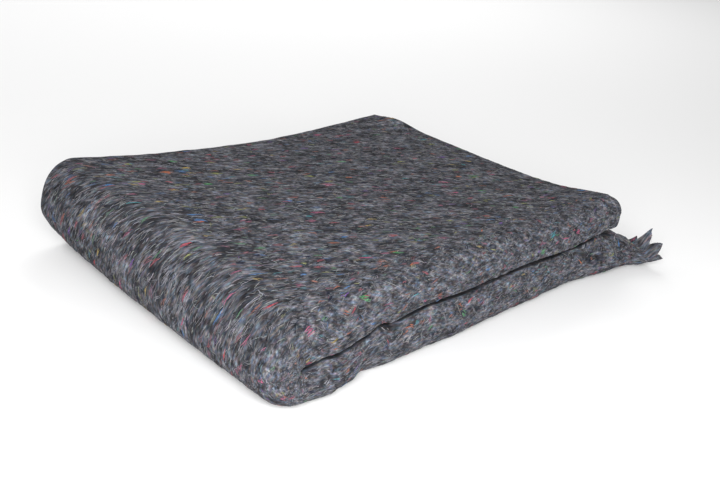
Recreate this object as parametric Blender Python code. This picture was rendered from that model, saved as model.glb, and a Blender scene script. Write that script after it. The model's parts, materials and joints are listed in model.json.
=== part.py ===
"""Grey felt moving blanket, folded into sixteen layers and laid flat.

One rectangle of needle-punched felt with pinked short ends is folded four times.
Every point of the flat sheet is carried through the same four folds, so the layers
are one continuous back-and-forth section. The folded stack is then given the uneven
heights, soft corners and loose end of a blanket folded by hand.

Metres, +Z up. The origin is the middle of the bounding box's underside. The last
fold's big roll lies along -X, the open end along +X, the rolled side along -Y.
"""

import math

import bmesh
import bpy
import numpy as np

# ---------------------------------------------------------------- driving sizes
FLAT_LENGTH = 2.0            # between the two pinked ends
FLAT_WIDTH = 1.5             # between the two straight edges
FELT = 0.0035                # thickness of the felt
LAYER = 0.0050               # felt and the air above it, in the stack
BUNDLE_GAP = 0.0042          # between the upper and the lower bundle
TONGUE = 0.043               # the cut ends lie this far beyond the looped ends
TOOTH_COUNT = 98             # pinked teeth on one short end
TOOTH_DEPTH = 0.0075
LAST_ROLL_SQUASH = 0.85      # 1 is a round roll, less is flatter
SIDE_ROLL_SQUASH = 0.86
SIDE_ROLL_SHOULDER = 0.13    # 1 is round, less is squarer, where the bundles meet
ROUND_UNTIL = (0.050, 0.100)     # from the cut end, where the shoulder is still round
GAP_CLOSING = 0.0013         # each bundle leans this far into the gap at the side rolls
GAP_CLOSED_TO = (0.020, 0.075)   # from the side roll's nose, where it opens again
GAP_OPENED = (0.080, 0.010)  # before the looped ends, where it opens too

FELT_GREY = (0.115, 0.115, 0.130, 1.0)

# ---------------------------------------------------------------- worked-out sizes
HALF_LENGTH = FLAT_LENGTH / 2
HALF_WIDTH = FLAT_WIDTH / 2
QUARTER_WIDTH = FLAT_WIDTH / 4
BUNDLE = 8 * LAYER
STACK = 2 * BUNDLE + BUNDLE_GAP
LAST_FOLD = (HALF_LENGTH + TONGUE) / 2
AIR = LAYER - FELT

LOOP_ARC = math.pi * LAYER / 2
EDGE_ARC = math.pi * LAYER
SIDE_ARC = math.pi * 2 * LAYER
LAST_ARC = math.pi * BUNDLE / 2

ROLL_NOSE = LAST_FOLD - LAST_ARC / 2 + LAST_ROLL_SQUASH * (BUNDLE + BUNDLE_GAP / 2)
SIDE_NOSE = QUARTER_WIDTH - SIDE_ARC / 2 + SIDE_ROLL_SQUASH * BUNDLE / 2
LENGTH = ROLL_NOSE - TONGUE  # from the last roll's nose to the looped ends
WIDTH = SIDE_NOSE            # from the side roll's nose to the edges

# Height of the stack at its corners, as a share of the even stack.
CORNER_HEIGHT = {"front": 0.865, "left": 1.170, "back": 0.925, "right": 0.880}
# How far the middle of each side rises or sinks, and bows out along +X or +Y.
SIDE_RISE = {"roll": 0.0095, "front": 0.0215, "back": -0.0105, "open": -0.0020}
SIDE_BOW = {"roll": -0.0045, "front": -0.0073, "back": -0.0090, "open": 0.0010}
# Share of the height that moves from the upper to the lower bundle along the front.
LOWER_SHARE = {"front": -0.15, "middle": 0.17, "right": 0.04}
RIGHT_PUFF = 0.014           # the right corner stands up by this much
RIGHT_PUFF_REACH = 0.070
LOOP_ROUNDING_TOP = 0.012    # how far the looped ends draw in, at top and underneath
LOOP_ROUNDING_UNDER = 0.004
LOOP_ROUNDING_REACH = 0.070
CORNER_TUCK = {"left": 0.001, "back": 0.009}
CORNER_TUCK_REACH = {"left": 0.035, "back": 0.033}
BACK_PUFF = 0.0048           # beside the back corner the open side swells by this much
BACK_PUFF_IN = 0.034
BACK_PUFF_REACH = 0.030
LEFT_LEAN = [                # the last roll's left end leans in at its foot, out at its nose
    # height of stack   out
    (0.00, -0.0034),
    (0.22, -0.0012),
    (0.50,  0.0044),
    (0.95, -0.0016),
]
LEFT_LEAN_REACH = 0.034      # from the roll's end, and LEFT_LEAN_FADE from its nose
LEFT_LEAN_FADE = (0.020, 0.080)
EDGE_SLIP = 0.0035           # the edges at the back side lie unevenly by this much
EDGE_SLIP_RISE = 0.058       # height over which the slip goes in and out once

# How far the foot of the front side swells out or draws in, from the last roll's nose.
FRONT_FOOT = [
    # x      out
    (0.000,  0.0000),
    (0.030,  0.0045),
    (0.062,  0.0070),
    (0.084,  0.0030),
    (0.106, -0.0050),
    (0.122, -0.0020),
    (0.140,  0.0000),
]
# How far the gap between the bundles wanders up or down along the front side.
GAP_RISE = [
    # x      up
    (0.030, -0.0012),
    (0.055, -0.0012),
    (0.073, -0.0040),
    (0.098, -0.0008),
    (0.117,  0.0036),
    (0.132,  0.0000),
    (0.165,  0.0020),
    (0.230, -0.0020),
    (0.320, -0.0004),
    (0.380, -0.0014),
    (0.445,  0.0012),
]
GAP_RISE_FADE = (0.020, 0.120)

# The loose end: how the outer layer's front roll sinks, opens and splays past the loops.
TONGUE_TABLE = [
    # reach  roll_height  far_height  splay   lift
    (0.00,   1.00,        1.00,       0.015,  0.000),
    (0.34,   0.86,        0.70,       0.018,  0.000),
    (0.66,   0.52,        0.20,       0.028,  0.001),
    (1.00,   1.32,        0.06,       0.041,  0.007),
]
TONGUE_REACH = 0.051
TONGUE_SOFT = 0.0155         # how quickly the roll gives way to the flat part behind it
TONGUE_LEAN = 0.50           # the roll's top is splayed less than its foot, by this share
TONGUE_START = (-0.006, 0.014)   # from the looped ends, where its top comes loose
SPLAY_START = 0.090
INNER_PULL = TONGUE + 0.018  # the inner layers' ends lie this much further in
TOP_PULL = TONGUE + 0.003    # and the lower bundle's top layer's, away from the roll
BOTTOM_PULL = 0.020          # and the bottom layer's, behind the tongue
ROLL_PULLS = [-0.014, -0.005, -0.004]    # round the outer layer's side roll: pushed out
TOP_SLANT, BOTTOM_SLANT = 0.55, 0.30     # share of the pulls at the tongue's back edge
PULL_REACH = 0.300           # how far in the slack is taken up

# ---------------------------------------------------------------- mesh rows
# Distances of the grid's lines from the pinked end, the loops and the rolls.
END_ROWS = [0.0115, 0.0225, 0.035, 0.054, 0.090, 0.160, 0.296, 0.394, 0.411, 0.430, 0.453]
UPPER_ROWS = [0.037, 0.060, 0.081, 0.194, 0.330, 0.400]
SIDE_ROWS = [0.018, 0.045, 0.105, 0.245]
LOOP_STEPS = 4
EDGE_STEPS = 4
SIDE_STEPS = 8
LAST_STEPS = 10


def smooth(value, low, high):
    """0 below low, 1 above high, with soft ends."""
    share = np.clip((value - low) / (high - low), 0.0, 1.0)
    return share * share * (3.0 - 2.0 * share)


def eased(place, table, column=1):
    """Read one column of a table of rows, with a soft step from each row to the next."""
    value = np.full_like(place, table[0][column])
    for near, far in zip(table, table[1:]):
        value = value + (far[column] - near[column]) * smooth(place, near[0], far[0])
    return value


def arc_lines(centre, arc, steps):
    """Grid lines across one fold, first and last included."""
    return [centre - arc / 2 + arc * step / steps for step in range(steps + 1)]


def length_lines():
    """Grid lines along the sheet, the same on both sides of its middle."""
    lines = list(END_ROWS)
    lines += arc_lines(LAST_FOLD, LAST_ARC, LAST_STEPS)
    lines += [LAST_FOLD + LAST_ARC / 2 + row for row in UPPER_ROWS]
    lines += arc_lines(HALF_LENGTH, LOOP_ARC, LOOP_STEPS)[:LOOP_STEPS // 2]
    return lines + [HALF_LENGTH] + [FLAT_LENGTH - line for line in reversed(lines)]


def width_lines():
    """Grid lines across the sheet, the same about each fold."""
    roll = QUARTER_WIDTH - SIDE_ARC / 2
    lines = [0.0] + [roll - row for row in reversed(SIDE_ROWS)]
    lines += arc_lines(QUARTER_WIDTH, SIDE_ARC, SIDE_STEPS)
    lines += [QUARTER_WIDTH + SIDE_ARC / 2 + row for row in SIDE_ROWS]
    lines += arc_lines(HALF_WIDTH, EDGE_ARC, EDGE_STEPS)[:EDGE_STEPS // 2]
    return lines + [HALF_WIDTH] + [FLAT_WIDTH - line for line in reversed(lines)]


def pinked_outline(lines):
    """(across, depth) points of one pinked end: every tooth point and every grid line.

    The side rolls stretch the cloth to twice its width, so teeth are narrower there.
    """
    roll_start, roll_end = QUARTER_WIDTH - SIDE_ARC / 2, QUARTER_WIDTH + SIDE_ARC / 2
    flat = [0.0, roll_start, roll_end, FLAT_WIDTH - roll_end, FLAT_WIDTH - roll_start, FLAT_WIDTH]
    extra = [0.0, 0.0, SIDE_ARC, SIDE_ARC, 2 * SIDE_ARC, 2 * SIDE_ARC]
    stretched = [place + more for place, more in zip(flat, extra)]
    pitch = stretched[-1] / TOOTH_COUNT
    points = {round(line, 6): line for line in lines}
    for half_tooth in range(2 * TOOTH_COUNT + 1):
        across = float(np.interp(half_tooth * pitch / 2, stretched, flat))
        points.setdefault(round(across, 6), across)
    outline = []
    for key in sorted(points):
        phase = (float(np.interp(points[key], flat, stretched)) / pitch) % 1.0
        outline.append((points[key], TOOTH_DEPTH * abs(2.0 * phase - 1.0)))
    return outline


def pinked_end(sheet, row, lines, end, inward):
    """Fill from the last full row of the grid out to the pinked edge."""
    outline = pinked_outline(lines)
    edge = [sheet.verts.new((end + inward * depth, across, 0.0)) for across, depth in outline]
    keys = [round(across, 6) for across, _ in outline]
    for cell in range(len(lines) - 1):
        first = keys.index(round(lines[cell], 6))
        last = keys.index(round(lines[cell + 1], 6))
        corners = [row[cell]] + edge[first:last + 1] + [row[cell + 1]]
        if inward < 0:
            corners.reverse()
        sheet.faces.new(corners)


def flat_sheet():
    """The sheet as it is cut, lying flat: X along its length, Y across it."""
    sheet = bmesh.new()
    along, across = length_lines(), width_lines()
    grid = [[sheet.verts.new((x, y, 0.0)) for y in across] for x in along]
    for i in range(len(along) - 1):
        for j in range(len(across) - 1):
            sheet.faces.new((grid[i][j], grid[i + 1][j], grid[i + 1][j + 1], grid[i][j + 1]))
    pinked_end(sheet, grid[0], across, 0.0, 1.0)
    pinked_end(sheet, grid[-1], across, FLAT_LENGTH, -1.0)
    bmesh.ops.recalc_face_normals(sheet, faces=sheet.faces)
    bmesh.ops.triangulate(sheet, faces=[face for face in sheet.faces if len(face.verts) > 4])
    lower = bmesh.ops.extrude_face_region(sheet, geom=list(sheet.faces))
    raised = [item for item in lower["geom"] if isinstance(item, bmesh.types.BMVert)]
    bmesh.ops.translate(sheet, verts=raised, vec=(0.0, 0.0, FELT))
    bmesh.ops.recalc_face_normals(sheet, faces=sheet.faces)
    return sheet


def fold_over(along, up, centre, slab, gap=0.0, squash=1.0, shoulder=1.0):
    """Turn what lies beyond the centre line back over a slab of layers."""
    arc = math.pi * slab / 2
    start = centre - arc / 2
    turn = np.clip((along - start) / arc, 0.0, 1.0) * math.pi
    radius = slab + gap / 2 - up
    power = np.where(turn > math.pi / 2, shoulder, 1.0)
    bent_along = start + squash * radius * np.abs(np.sin(turn)) ** power
    bent_up = slab + gap / 2 - radius * np.cos(turn)
    unturned, turned = turn <= 0.0, turn >= math.pi
    new_along = np.where(unturned, along, np.where(turned, 2 * centre - along, bent_along))
    new_up = np.where(unturned, up, np.where(turned, 2 * slab + gap - up, bent_up))
    return new_along, new_up


def slack(along, across):
    """How far each layer's cut end is drawn in from the outer layer's tongue.

    It changes evenly from one grid line to the next, so the pinked edge keeps its teeth.
    """
    near, mid, far, back = [SIDE_ARC / 2 + row for row in SIDE_ROWS]
    places = [-far, -mid, -near, 0.0, near, mid, far, back, QUARTER_WIDTH - EDGE_ARC / 2]
    pulls = [BOTTOM_PULL, BOTTOM_SLANT * BOTTOM_PULL, *ROLL_PULLS, TOP_SLANT * TOP_PULL]
    pulls += [TOP_PULL, TOP_PULL, INNER_PULL]
    drawn = np.interp(across - QUARTER_WIDTH, places, pulls)
    return np.where(along < HALF_LENGTH, drawn, INNER_PULL)


def fold(points):
    """Carry flat points through the four folds.

    Returns the distance from the last roll's nose, from the side roll's nose, and the
    height above the stack's underside.
    """
    along, across, up = points[:, 0], points[:, 1], points[:, 2] + AIR / 2
    drawn = slack(along, across)
    along, up = fold_over(along, up, HALF_LENGTH, LAYER)
    across, up = fold_over(across, up, HALF_WIDTH, 2 * LAYER)
    shoulder = 1 - (1 - SIDE_ROLL_SHOULDER) * smooth(along, *ROUND_UNTIL)
    across, up = fold_over(across, up, QUARTER_WIDTH, 4 * LAYER, 0.0, SIDE_ROLL_SQUASH, shoulder)
    along = along + drawn * np.clip(1.0 - along / PULL_REACH, 0.0, 1.0) ** 2
    along, up = fold_over(along, up, LAST_FOLD, BUNDLE, BUNDLE_GAP, LAST_ROLL_SQUASH)
    return ROLL_NOSE - along, SIDE_NOSE - across, up - AIR / 2


def open_tongue(x, y, z):
    """Let the outer layer's front roll sink, open and splay past the looped ends."""
    reach = np.clip((x - LENGTH) / TONGUE_REACH, 0.0, 1.0)
    near_roll = np.exp(-(y / TONGUE_SOFT) ** 2)
    roll_height = eased(reach, TONGUE_TABLE, 1)
    far_height = eased(reach, TONGUE_TABLE, 2)
    height = far_height + (roll_height - far_height) * near_roll
    hollow = np.clip((z - LAYER) / (BUNDLE - 2 * LAYER), 0.0, 1.0)
    sunk = (BUNDLE - 2 * LAYER) * (1.0 - height) * hollow
    in_lower = z < BUNDLE + BUNDLE_GAP / 2
    splay = eased(reach, TONGUE_TABLE, 3) * smooth(x, LENGTH - SPLAY_START, LENGTH)
    near_side = np.exp(-(y / (2 * TONGUE_SOFT)) ** 2)
    held = 1.0 - smooth(x - LENGTH, *TONGUE_START)
    lean = 1.0 - smooth(z, 0.3 * BUNDLE * held, BUNDLE) * (TONGUE_LEAN + (1.0 - TONGUE_LEAN) * held)
    z = np.where(in_lower, z - sunk + eased(reach, TONGUE_TABLE, 4) * near_side, z)
    return np.where(in_lower, y - splay * near_side * lean, y), z


def close_gap(x, y, z):
    """Lean the two bundles together along the side rolls, less towards the open end."""
    amount = GAP_CLOSING * (1 - smooth(y, *GAP_CLOSED_TO))
    amount = amount * (1 - smooth(x, LENGTH - GAP_OPENED[0], LENGTH - GAP_OPENED[1]))
    return z + amount * np.interp(z, [0.0, BUNDLE, BUNDLE + BUNDLE_GAP, STACK], [0.0, 1.0, -1.0, 0.0])


def lay(x, y, z):
    """Give the even stack its uneven heights, soft corners and bowed sides."""
    z = close_gap(x, y, z)
    s, t = np.clip(x / LENGTH, 0.0, 1.0), np.clip(y / WIDTH, 0.0, 1.0)
    mid_s, mid_t = 4 * s * (1 - s), 4 * t * (1 - t)
    y, z = open_tongue(x, y, z)

    share = z / STACK
    shift = LOWER_SHARE["front"] * (1 - s) + LOWER_SHARE["middle"] * mid_s
    shift = (shift + LOWER_SHARE["right"] * s) * (1 - t)
    step = eased(x, GAP_RISE) * (1 - smooth(y, *GAP_RISE_FADE))
    z = z + (2 * shift * STACK + 4 * step) * share * (1 - share)

    height = (CORNER_HEIGHT["front"] * (1 - s) * (1 - t) + CORNER_HEIGHT["left"] * (1 - s) * t
              + CORNER_HEIGHT["back"] * s * t + CORNER_HEIGHT["right"] * s * (1 - t))
    rise = (SIDE_RISE["roll"] * mid_t * (1 - s) + SIDE_RISE["front"] * mid_s * (1 - t)
            + SIDE_RISE["back"] * mid_s * t + SIDE_RISE["open"] * mid_t * s)
    corner = ((x - LENGTH) ** 2 + y ** 2) / RIGHT_PUFF_REACH ** 2
    rise = rise + RIGHT_PUFF * np.exp(-corner)
    behind = ((LENGTH - x) ** 2 + (WIDTH - BACK_PUFF_IN - y) ** 2) / BACK_PUFF_REACH ** 2
    rise = rise + BACK_PUFF * np.exp(-behind)

    upper = np.clip(2 * (z - BUNDLE - BUNDLE_GAP / 2) / BUNDLE - 1, -0.98, 0.98)
    rounding = np.where(upper > 0, LOOP_ROUNDING_TOP, LOOP_ROUNDING_UNDER)
    rounding = rounding * (1 - np.sqrt(1 - upper ** 2)) * (z > BUNDLE)
    in_x = rounding * smooth(x, LENGTH - LOOP_ROUNDING_REACH, LENGTH)
    bow_x = mid_t * (SIDE_BOW["roll"] * (1 - s) + SIDE_BOW["open"] * s)
    bow_y = mid_s * (SIDE_BOW["front"] * (1 - t) + SIDE_BOW["back"] * t)
    bulge = eased(x, FRONT_FOOT) * (1 - t) ** 4 * (1 - smooth(z, 0.1 * STACK, 0.5 * STACK))

    from_left = (x ** 2 + (WIDTH - y) ** 2) / CORNER_TUCK_REACH["left"] ** 2
    from_back = ((LENGTH - x) ** 2 + (WIDTH - y) ** 2) / CORNER_TUCK_REACH["back"] ** 2
    tuck_left = CORNER_TUCK["left"] * np.exp(-from_left)
    tuck_back = CORNER_TUCK["back"] * np.exp(-from_back)
    lean = eased(share, LEFT_LEAN) * np.exp(-((WIDTH - y) / LEFT_LEAN_REACH) ** 2)
    lean = lean * (1 - smooth(x, *LEFT_LEAN_FADE))
    slip = EDGE_SLIP * t ** 6 * np.sin(2 * math.pi * z / EDGE_SLIP_RISE + 9 * x)

    new_x = x + bow_x - in_x - lean + tuck_left - tuck_back
    new_y = y + bow_y - bulge - tuck_left - tuck_back + slip
    return new_x, new_y, z * (height + rise / STACK)


def folded_blanket():
    """Fold the flat sheet's mesh and put the origin under its middle."""
    sheet = flat_sheet()
    mesh = bpy.data.meshes.new("blanket")
    sheet.to_mesh(mesh)
    sheet.free()
    flat = np.empty(len(mesh.vertices) * 3, dtype=np.float32)
    mesh.vertices.foreach_get("co", flat)
    points = np.stack(lay(*fold(flat.reshape(-1, 3).astype(float))), axis=1)
    low, high = points.min(axis=0), points.max(axis=0)
    points -= ((low[0] + high[0]) / 2, (low[1] + high[1]) / 2, low[2])
    mesh.vertices.foreach_set("co", points.astype(np.float32).ravel())
    mesh.shade_smooth()
    mesh.set_sharp_from_angle(angle=math.radians(50))
    mesh.update()
    blanket = bpy.data.objects.new("blanket", mesh)
    bpy.context.scene.collection.objects.link(blanket)
    return blanket


def felt_material():
    """Matt grey felt of mixed recycled fibres."""
    felt = bpy.data.materials.new("grey_felt")
    felt.use_nodes = True
    shader = felt.node_tree.nodes["Principled BSDF"]
    shader.inputs["Base Color"].default_value = FELT_GREY
    shader.inputs["Roughness"].default_value = 0.95
    shader.inputs["Metallic"].default_value = 0.0
    return felt


for stale in list(bpy.data.objects):
    bpy.data.objects.remove(stale, do_unlink=True)
blanket = folded_blanket()
blanket.data.materials.append(felt_material())
triangles = sum(len(polygon.vertices) - 2 for polygon in blanket.data.polygons)
print("blanket:", triangles, "triangles, size", [round(side, 4) for side in blanket.dimensions])
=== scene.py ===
# %% [markdown]
# # A folded felt moving blanket
# A moving blanket of this kind is one big rectangle of grey recycled felt. Rags are torn
# back into fibres, laid into a web and punched together with barbed needles, so there is
# no weave: what the eye sees is a mat of short fibres, mostly lying one way, with flecks
# of every dye the rags once had. The two short ends are cut with a zigzag blade.
#
# The lesson makes the cloth the way a packer does. A flat sheet is cut first, then every
# point of it is carried through four folds, and last the stack gets the uneven heights
# and soft corners that hands give it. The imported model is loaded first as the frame,
# because everything here has to lie where that solid lies.

import json
import math

import bmesh
import bpy
import numpy as np
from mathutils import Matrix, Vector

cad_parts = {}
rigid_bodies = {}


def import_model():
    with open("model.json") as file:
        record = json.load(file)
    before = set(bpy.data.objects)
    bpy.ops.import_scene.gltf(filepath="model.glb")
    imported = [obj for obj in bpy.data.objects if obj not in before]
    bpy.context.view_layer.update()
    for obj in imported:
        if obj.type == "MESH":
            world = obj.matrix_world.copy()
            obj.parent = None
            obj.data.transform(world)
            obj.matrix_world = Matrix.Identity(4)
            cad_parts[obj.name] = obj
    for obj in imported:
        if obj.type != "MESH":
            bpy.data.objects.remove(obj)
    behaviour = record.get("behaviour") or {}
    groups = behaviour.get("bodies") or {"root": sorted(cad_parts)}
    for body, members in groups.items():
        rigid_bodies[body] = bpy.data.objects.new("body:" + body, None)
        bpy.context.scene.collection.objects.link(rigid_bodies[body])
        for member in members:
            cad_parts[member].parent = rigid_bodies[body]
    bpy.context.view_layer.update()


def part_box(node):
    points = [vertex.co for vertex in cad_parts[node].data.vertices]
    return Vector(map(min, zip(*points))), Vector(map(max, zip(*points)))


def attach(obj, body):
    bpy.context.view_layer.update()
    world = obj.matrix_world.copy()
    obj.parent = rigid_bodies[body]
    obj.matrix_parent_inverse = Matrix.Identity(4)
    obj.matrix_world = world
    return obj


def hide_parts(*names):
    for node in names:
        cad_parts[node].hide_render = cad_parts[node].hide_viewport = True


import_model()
box_low, box_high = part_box("blanket")
print("frame box, mm:", [round(1000 * (high - low)) for low, high in zip(box_low, box_high)])

# %% [markdown]
# ## The sheet and its folds, in numbers
# These are the sizes the packer works with: the cut sheet, the felt's thickness, and how
# much room each layer takes once it is folded. Everything else follows from them. A fold
# line isn't a crease but half a circle, wide enough for the layers inside it.

# %% Sizes of the cut sheet and of its folds
FLAT_LENGTH = 2.0            # between the two pinked ends
FLAT_WIDTH = 1.5             # between the two straight edges
FELT = 0.0035                # thickness of the felt
LAYER = 0.0050               # felt and the air above it, in the stack
BUNDLE_GAP = 0.0042          # between the upper and the lower bundle
TONGUE = 0.043               # the cut ends lie this far beyond the looped ends
TOOTH_COUNT = 98             # pinked teeth on one short end
TOOTH_DEPTH = 0.0075
LAST_ROLL_SQUASH = 0.85      # 1 is a round roll, less is flatter
SIDE_ROLL_SQUASH = 0.86
SIDE_ROLL_SHOULDER = 0.13    # 1 is round, less is squarer, where the bundles meet
ROUND_UNTIL = (0.050, 0.100)     # from the cut end, where the shoulder is still round
GAP_CLOSING = 0.0013         # each bundle leans this far into the gap at the side rolls
GAP_CLOSED_TO = (0.020, 0.075)   # from the side roll's nose, where it opens again
GAP_OPENED = (0.080, 0.010)  # before the looped ends, where it opens too

HALF_LENGTH = FLAT_LENGTH / 2
HALF_WIDTH = FLAT_WIDTH / 2
QUARTER_WIDTH = FLAT_WIDTH / 4
BUNDLE = 8 * LAYER
STACK = 2 * BUNDLE + BUNDLE_GAP
LAST_FOLD = (HALF_LENGTH + TONGUE) / 2
AIR = LAYER - FELT
LOOP_ARC = math.pi * LAYER / 2
EDGE_ARC = math.pi * LAYER
SIDE_ARC = math.pi * 2 * LAYER
LAST_ARC = math.pi * BUNDLE / 2
ROLL_NOSE = LAST_FOLD - LAST_ARC / 2 + LAST_ROLL_SQUASH * (BUNDLE + BUNDLE_GAP / 2)
SIDE_NOSE = QUARTER_WIDTH - SIDE_ARC / 2 + SIDE_ROLL_SQUASH * BUNDLE / 2
LENGTH = ROLL_NOSE - TONGUE  # from the last roll's nose to the looped ends
WIDTH = SIDE_NOSE            # from the side roll's nose to the edges
STACK_MIDDLE = (0.26824, 0.17264)    # the laid stack's middle, from the two noses
print(f"even stack: {LENGTH:.3f} x {WIDTH:.3f} x {STACK:.3f} m")

# %% [markdown]
# ## Folding a point
# One fold is a small rule: what lies before the fold stays, what lies beyond it is
# turned over and comes to rest on top, and what is in between goes round the bend. The
# same rule serves all four folds. A rule is better than bending a mesh by hand, because
# it can be asked about any point: the cloth's own, and later those of each loose fibre.

# %% Soft steps and the fold rule
def smooth(value, low, high):
    """0 below low, 1 above high, with soft ends."""
    share = np.clip((value - low) / (high - low), 0.0, 1.0)
    return share * share * (3.0 - 2.0 * share)


def eased(place, table, column=1):
    """Read one column of a table of rows, with a soft step from each row to the next."""
    value = np.full_like(place, table[0][column])
    for near, far in zip(table, table[1:]):
        value = value + (far[column] - near[column]) * smooth(place, near[0], far[0])
    return value


def fold_over(along, up, centre, slab, gap=0.0, squash=1.0, shoulder=1.0):
    """Turn what lies beyond the centre line back over a slab of layers."""
    arc = math.pi * slab / 2
    start = centre - arc / 2
    turn = np.clip((along - start) / arc, 0.0, 1.0) * math.pi
    radius = slab + gap / 2 - up
    power = np.where(turn > math.pi / 2, shoulder, 1.0)
    bent_along = start + squash * radius * np.abs(np.sin(turn)) ** power
    bent_up = slab + gap / 2 - radius * np.cos(turn)
    unturned, turned = turn <= 0.0, turn >= math.pi
    new_along = np.where(unturned, along, np.where(turned, 2 * centre - along, bent_along))
    new_up = np.where(unturned, up, np.where(turned, 2 * slab + gap - up, bent_up))
    return new_along, new_up


nose, level = fold_over(np.array([HALF_LENGTH]), np.array([0.0]), HALF_LENGTH, LAYER)
print(f"first fold: nose at {nose[0]:.3f} m, {1000 * level[0]:.1f} mm up")

# %% [markdown]
# ## Four folds
# In half along its length, in half across, in half across again, and once more along:
# that is how a packer folds it. The cut ends of the inner layers lie further in than the
# outer one's, so that a single loose end shows at the open corner. That slack is pulled
# in evenly along the layers.

# %% Slack of the cut ends, and the four folds
INNER_PULL = TONGUE + 0.018  # the inner layers' ends lie this much further in
TOP_PULL = TONGUE + 0.003    # and the lower bundle's top layer's, away from the roll
BOTTOM_PULL = 0.020          # and the bottom layer's, behind the loose end
ROLL_PULLS = [-0.014, -0.005, -0.004]    # round the outer layer's side roll: pushed out
TOP_SLANT, BOTTOM_SLANT = 0.55, 0.30     # share of the pulls at the loose end's back edge
PULL_REACH = 0.300           # how far in the slack is taken up
SIDE_ROWS = [0.018, 0.045, 0.105, 0.245]     # where the slack changes, from the side roll


def slack(along, across):
    """How far each layer's cut end is drawn in from the outer layer's."""
    near, mid, far, back = [SIDE_ARC / 2 + row for row in SIDE_ROWS]
    places = [-far, -mid, -near, 0.0, near, mid, far, back, QUARTER_WIDTH - EDGE_ARC / 2]
    pulls = [BOTTOM_PULL, BOTTOM_SLANT * BOTTOM_PULL, *ROLL_PULLS, TOP_SLANT * TOP_PULL]
    pulls += [TOP_PULL, TOP_PULL, INNER_PULL]
    drawn = np.interp(across - QUARTER_WIDTH, places, pulls)
    return np.where(along < HALF_LENGTH, drawn, INNER_PULL)


def fold(along, across, up):
    """Flat sheet to even stack: distances from the two noses, and the height."""
    up = up + AIR / 2
    drawn = slack(along, across)
    along, up = fold_over(along, up, HALF_LENGTH, LAYER)
    across, up = fold_over(across, up, HALF_WIDTH, 2 * LAYER)
    shoulder = 1 - (1 - SIDE_ROLL_SHOULDER) * smooth(along, *ROUND_UNTIL)
    across, up = fold_over(across, up, QUARTER_WIDTH, 4 * LAYER, 0.0, SIDE_ROLL_SQUASH, shoulder)
    along = along + drawn * np.clip(1.0 - along / PULL_REACH, 0.0, 1.0) ** 2
    along, up = fold_over(along, up, LAST_FOLD, BUNDLE, BUNDLE_GAP, LAST_ROLL_SQUASH)
    return ROLL_NOSE - along, SIDE_NOSE - across, up - AIR / 2


far_corner = fold(np.array([FLAT_LENGTH]), np.array([FLAT_WIDTH]), np.array([0.0]))
print("the far corner of the sheet ends at", [round(float(place[0]), 3) for place in far_corner])

# %% [markdown]
# ## Laying it down
# A stack folded by hand is never even. It stands higher at one corner, sags along one
# side, swells where the rolls are fat, and its outer layer opens at the loose end. Each
# of these is a small named number, so it can be turned up or down by itself.

# %% The loose end
TONGUE_TABLE = [
    # reach  roll_height  far_height  splay   lift
    (0.00,   1.00,        1.00,       0.015,  0.000),
    (0.34,   0.86,        0.70,       0.018,  0.000),
    (0.66,   0.52,        0.20,       0.028,  0.001),
    (1.00,   1.32,        0.06,       0.041,  0.007),
]
TONGUE_REACH = 0.051         # past the looped ends, where the table's reach is 1
TONGUE_SOFT = 0.0155         # how quickly the roll gives way to the flat part behind it
TONGUE_LEAN = 0.50           # the roll's top is splayed less than its foot, by this share
TONGUE_START = (-0.006, 0.014)   # from the looped ends, where its top comes loose
SPLAY_START = 0.090          # before the looped ends, where it begins to splay
TONGUE_HELD = 0.3            # share of the bundle's height that splays even where it's held


def open_tongue(x, y, z):
    """Let the outer layer's front roll sink, open and splay past the looped ends."""
    reach = np.clip((x - LENGTH) / TONGUE_REACH, 0.0, 1.0)
    near_roll = np.exp(-(y / TONGUE_SOFT) ** 2)
    roll_height = eased(reach, TONGUE_TABLE, 1)
    far_height = eased(reach, TONGUE_TABLE, 2)
    height = far_height + (roll_height - far_height) * near_roll
    hollow = np.clip((z - LAYER) / (BUNDLE - 2 * LAYER), 0.0, 1.0)
    sunk = (BUNDLE - 2 * LAYER) * (1.0 - height) * hollow
    in_lower = z < BUNDLE + BUNDLE_GAP / 2
    splay = eased(reach, TONGUE_TABLE, 3) * smooth(x, LENGTH - SPLAY_START, LENGTH)
    near_side = np.exp(-(y / (2 * TONGUE_SOFT)) ** 2)
    held = 1.0 - smooth(x - LENGTH, *TONGUE_START)
    upright = TONGUE_LEAN + (1.0 - TONGUE_LEAN) * held
    lean = 1.0 - smooth(z, TONGUE_HELD * BUNDLE * held, BUNDLE) * upright
    z = np.where(in_lower, z - sunk + eased(reach, TONGUE_TABLE, 4) * near_side, z)
    return np.where(in_lower, y - splay * near_side * lean, y), z


tip = open_tongue(np.array([LENGTH + TONGUE]), np.array([0.0]), np.array([0.0]))
print(f"the loose end splays {-1000 * tip[0][0]:.0f} mm and lifts {1000 * tip[1][0]:.0f} mm")

# %% [markdown]
# The rest of the form is written down before it is used, one number or one short table
# for each thing that can be seen: how high each corner stands, how each side rises, sinks
# or bows, and where it is puffed up or tucked in.

# %% Heights, bows, bulges and soft corners, in numbers
# Height of the stack at its corners, as a share of the even stack.
CORNER_HEIGHT = {"front": 0.865, "left": 1.170, "back": 0.925, "right": 0.880}
# How far the middle of each side rises or sinks, and bows out along +X or +Y.
SIDE_RISE = {"roll": 0.0095, "front": 0.0215, "back": -0.0105, "open": -0.0020}
SIDE_BOW = {"roll": -0.0045, "front": -0.0073, "back": -0.0090, "open": 0.0010}
# Share of the height that moves from the upper to the lower bundle along the front.
LOWER_SHARE = {"front": -0.15, "middle": 0.17, "right": 0.04}
RIGHT_PUFF, RIGHT_PUFF_REACH = 0.014, 0.070      # the right corner stands up
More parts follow.
